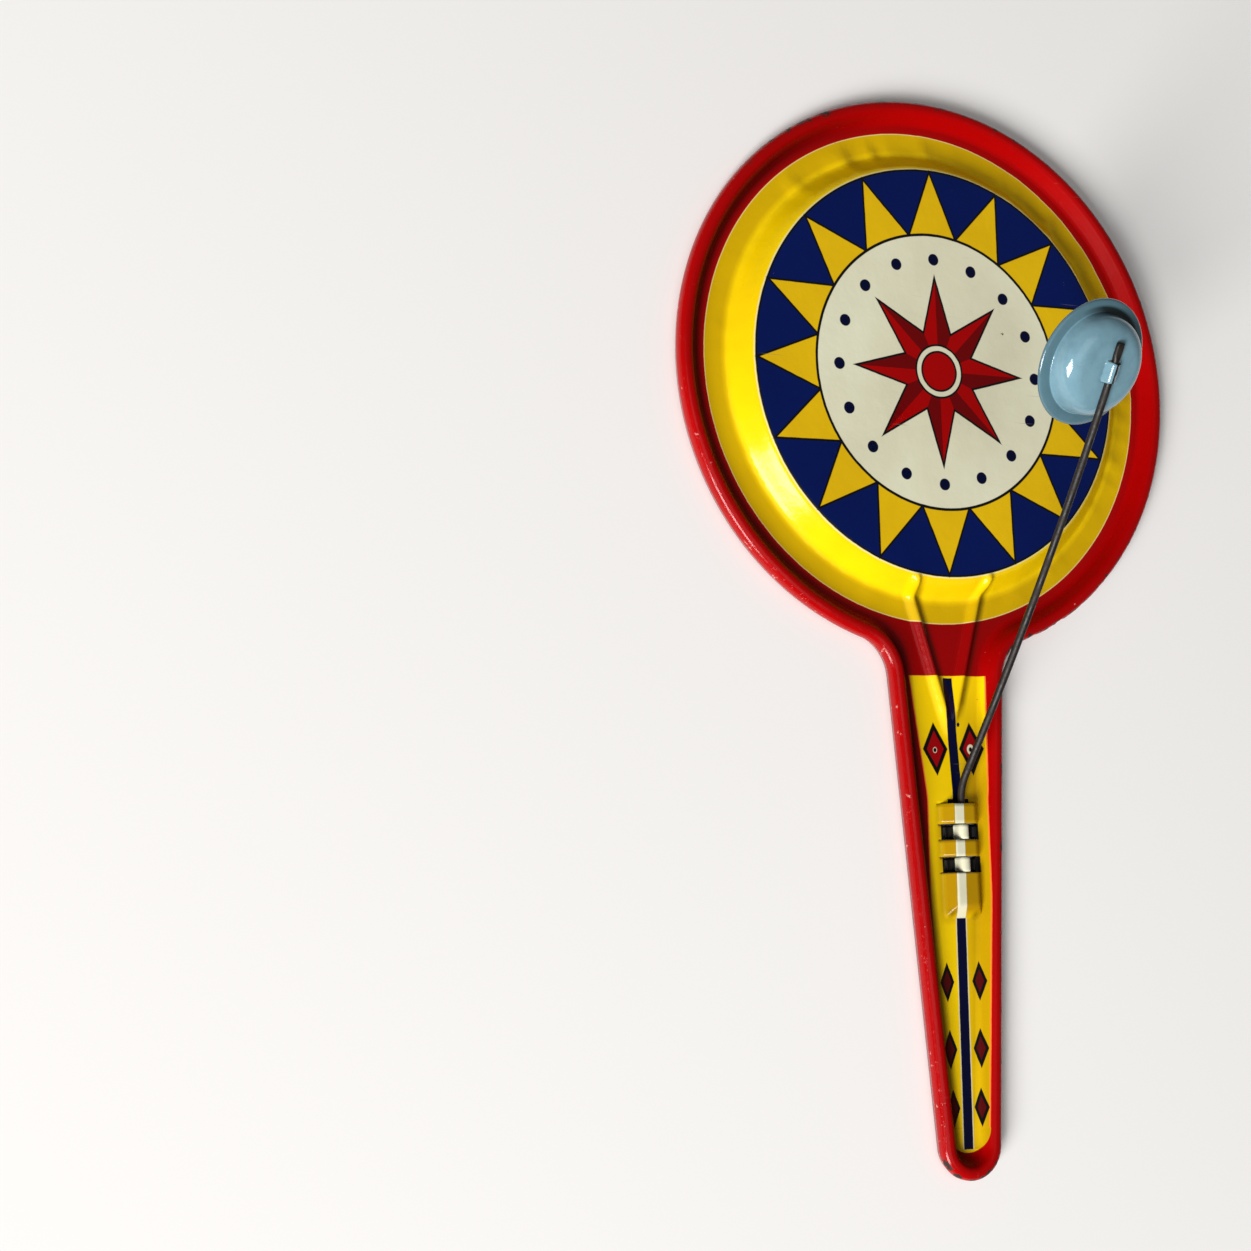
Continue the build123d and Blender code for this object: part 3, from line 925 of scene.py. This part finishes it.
def printMaterial():
    material, tree, shader = newTree("lithoPrint")
    place = millimetres(tree)
    x, y, z = xyz(tree, place)
    jitter = cloud(tree, place, 0.7, 2.0)
    x, y = x + (jitter * 0.12 - 0.06), y + (jitter * 0.1 - 0.05)
    inset = insetOf(tree)
    wear = worn(tree, place, inset.under(1.2, 2.4))
    ragged = cloud(tree, place, 0.45, 5.0, 0.7) + inset.under(0.9, 1.4) * 0.2
    ends = (y.under(-97.5, 2.0), y.over(88.0, 8.0))
    battered = x.over(5.0, 8.0).calc("MAXIMUM", ends[0]).calc("MAXIMUM", ends[1])
    chips = ragged.over(0.72, 0.03) * battered  # on the right-hand edge and at both ends
    shady = x.under(-20.0, 26.0).calc("MAXIMUM", x.under(0.0, 3.0) * y.under(0.0, 6.0))
    crease = (inset - 3.9).size().under(1.2, 1.6) * shady  # painted shade inside the left of the rim
    dull = (inset - 3.2).size().under(1.5, 1.2)  # the rim's inner wall has less gloss
    # painted shade: the red inside the rim is darker on the neck and handle
    neck = inset.over(4.3, 2.0) * y.under(6.0, 8.0)
    colour = headPrint(tree, x, y, painted(tree, neck, inks["red"], inks["deepRed"]))
    colour = handlePrint(tree, x, y, z, colour)
    for foot, tail in pan["ribs"]:  # painted shade along the steep flank of each rib
        run = (Vector(tail) - Vector(foot)).normalized()
        aside = (y - foot[1]) * run.x - (x - foot[0]) * run.y
        along = (x - foot[0]) * run.x + (y - foot[1]) * run.y
        flank = (aside - 1.25).size().under(0.75, 0.9) * along.over(-1.5, 4.0) * along.under(23.0, 4.0)
        colour = painted(tree, flank * 0.6, colour, inks["ribShade"])
    tone = cloud(tree, place, 0.05, 3.0)
    shade = tree.nodes.new("ShaderNodeMix")
    shade.data_type = "RGBA"
    shade.blend_type = "MULTIPLY"
    shade.inputs[0].default_value = 1.0
    tree.links.new(colour, shade.inputs[6])
    tint = painted(tree, tone.over(0.5, 0.6), ink(232, 226, 222), ink(255, 255, 255))
    tree.links.new(tint, shade.inputs[7])
    colour = painted(tree, wear["Scratches"] * 0.55, shade.outputs[2], inks["tin"])
    colour = painted(tree, wear["Scuffs"] * 0.6, colour, inks["scuff"])
    colour = painted(tree, crease * 0.8, colour, inks["crease"])
    colour = painted(tree, chips, colour, inks["chip"])
    tree.links.new(colour, shader.inputs["Base Color"])
    tree.links.new((wear["Gloss"] + chips * 0.3 + dull * 0.25).socket, shader.inputs["Roughness"])
    tree.links.new((dull * -0.18 + 0.22).socket, shader.inputs["Specular IOR Level"])
    bumped(tree, shader, wear["Height"], 0.2, 0.0002)
    return material


def backMaterial():
    material, tree, shader = newTree("backEnamel")
    place = millimetres(tree)
    wear = worn(tree, place, insetOf(tree).under(1.2, 2.4))
    colour = painted(tree, wear["Grime"], ink(118, 136, 142), ink(96, 112, 118))
    colour = painted(tree, wear["Scratches"] * 0.5, colour, ink(170, 172, 168))
    colour = painted(tree, wear["Chips"], colour, ink(70, 54, 42))
    tree.links.new(colour, shader.inputs["Base Color"])
    tree.links.new((wear["Gloss"] + 0.16).socket, shader.inputs["Roughness"])
    bumped(tree, shader, wear["Height"], 0.3, 0.0002)
    return material


def rawEdgeMaterial():
    material, tree, shader = newTree("rawEdge")
    place = millimetres(tree)
    rust = cloud(tree, place, 0.8, 5.0, 0.65).over(0.52, 0.25)
    colour = painted(tree, rust, ink(62, 56, 52), ink(40, 28, 22))
    tree.links.new(colour, shader.inputs["Base Color"])
    tree.links.new((rust * 0.4 + 0.35).socket, shader.inputs["Roughness"])
    shader.inputs["Metallic"].default_value = 0.6
    bumped(tree, shader, rust, 0.4, 0.0001)
    return material


def wireMaterial():
    material, tree, shader = newTree("oldSpringSteel")
    place = millimetres(tree)
    rust = cloud(tree, place, 0.35, 5.0, 0.65).over(0.54, 0.22)
    draw = cloud(tree, place, 2.4, 3.0)
    steel = painted(tree, draw, ink(20, 18, 16), ink(34, 31, 28))
    colour = painted(tree, rust, steel, ink(30, 20, 15))
    tree.links.new(colour, shader.inputs["Base Color"])
    tree.links.new((rust * 0.3 + 0.42).socket, shader.inputs["Roughness"])
    tree.links.new(rust.calc("MULTIPLY_ADD", -0.3, 0.4).socket, shader.inputs["Metallic"])
    bumped(tree, shader, draw + rust, 0.3, 0.0001)
    return material


def cupMaterial():
    material, tree, shader = newTree("strikerEnamel")
    place = millimetres(tree)
    inset = insetOf(tree)
    wear = worn(tree, place, inset.under(0.1, 0.4))
    x, y, z = xyz(tree, place)
    far = cupAcross * 0.57 + cupWay * 0.82
    toward = (x - brimCentre.x) * far.x + (y - brimCentre.y) * far.y + (z - brimCentre.z) * far.z
    colour = painted(tree, wear["Grime"], ink(112, 147, 160), ink(98, 131, 144))
    colour = painted(tree, wear["Scratches"] * 0.4, colour, ink(140, 160, 168))
    # painted shade: the brim is darker than the dome
    colour = painted(tree, inset.under(2.0, 0.5) * 0.8, colour, ink(68, 98, 108))
    fold = (inset - 1.75).size().under(0.8, 0.5) * toward.over(5.5, 4.0)  # painted shade in the fold
    colour = painted(tree, fold * 0.92, colour, ink(6, 12, 10))
    tree.links.new(colour, shader.inputs["Base Color"])
    tree.links.new((wear["Gloss"] * 0.6).socket, shader.inputs["Roughness"])
    bumped(tree, shader, wear["Height"], 0.18, 0.0002)
    return material


def writeInset(piece, values):
    layer = piece.data.attributes.new("inset", "FLOAT", "POINT")
    layer.data.foreach_set("value", [float(v) for v in values])


def panInsets():
    flat = np.array([(v.co.x / mm, v.co.y / mm) for v in panPiece.data.vertices])
    edge = np.array([tuple(p) for p, n in panOutline()])
    nearest = np.full(len(flat), 1e9)
    for a in edge:
        nearest = np.minimum(nearest, ((flat - a) ** 2).sum(axis=1))
    return np.sqrt(nearest)


def cupInsets():
    values = []
    for v in cupPiece.data.vertices:
        arm = v.co / mm - brimCentre
        values.append(cup["brimRadius"] - (arm - cupAxis * arm.dot(cupAxis)).length)
    return values


writeInset(panPiece, panInsets())
writeInset(cupPiece, cupInsets())
edgeMaterial = rawEdgeMaterial()
for material in (printMaterial(), backMaterial(), edgeMaterial):
    panPiece.data.materials.append(material)
wirePiece.data.materials.append(wireMaterial())
for material in (cupMaterial(), edgeMaterial):
    cupPiece.data.materials.append(material)
print("materials set")

# Pale floor and soft studio light

stage = {
    "floorSize": 6.0,
    "floor": (ink(240, 237, 234), ink(243, 241, 238)),
    "world": 0.12,
    "aim": (0, 0.02, 0),
    "lamps": [  # name, place, size and power
        ("key", (-1.52, -1.24, 1.08), 1.0, 78.0),
        ("fill", (-0.30, -0.50, 2.60), 2.0, 11.5),
    ],
}


def setStage():
    half = stage["floorSize"] / 2
    mesh = bpy.data.meshes.new("floor")
    corners = [(-half, -half, 0), (half, -half, 0), (half, half, 0), (-half, half, 0)]
    mesh.from_pydata(corners, [], [(0, 1, 2, 3)])
    floor = bpy.data.objects.new("floor", mesh)
    bpy.context.collection.objects.link(floor)
    material, tree, shader = newTree("paleFloor")
    tone = cloud(tree, millimetres(tree), 0.004, 2.0)
    tree.links.new(painted(tree, tone, *stage["floor"]), shader.inputs["Base Color"])
    shader.inputs["Roughness"].default_value = 0.85
    mesh.materials.append(material)
    for name, place, size, power in stage["lamps"]:
        data = bpy.data.lights.new(name, "AREA")
        data.size = size
        data.energy = power
        lamp = bpy.data.objects.new(name, data)
        lamp.location = place
        aim = Vector(stage["aim"]) - Vector(place)
        lamp.rotation_euler = aim.to_track_quat("-Z", "Y").to_euler()
        bpy.context.collection.objects.link(lamp)
    world = bpy.data.worlds.new("studio")
    world.use_nodes = True
    sky = world.node_tree.nodes["Background"]
    sky.inputs["Color"].default_value = (1, 1, 1, 1)
    sky.inputs["Strength"].default_value = stage["world"]
    bpy.context.scene.world = world
    bpy.context.scene.view_settings.view_transform = "Standard"


setStage()
print("stage lit")

# Camera where the photograph was taken from

camera = {
    "place": (-232.73, -52.43, 358.23),
    "right": (0.9072, -0.0334, 0.4194),
    "up": (-0.0239, 0.9912, 0.1305),
    "back": (-0.4201, -0.1285, 0.8984),
    "focalPixels": 2246.0,
    "imagePixels": 1251.0,
    "sensor": 36,
}


def placeCamera():
    data = bpy.data.cameras.new("photoCamera")
    data.sensor_width = camera["sensor"]
    data.lens = camera["sensor"] * camera["focalPixels"] / camera["imagePixels"]
    data.clip_start = 0.01
    data.clip_end = 20
    eye = bpy.data.objects.new("photoCamera", data)
    bpy.context.collection.objects.link(eye)
    turn = Matrix((camera["right"], camera["up"], camera["back"])).transposed()
    eye.matrix_world = Matrix.Translation(Vector(camera["place"]) * mm) @ turn.to_4x4()
    bpy.context.scene.camera = eye


placeCamera()
print("camera placed")
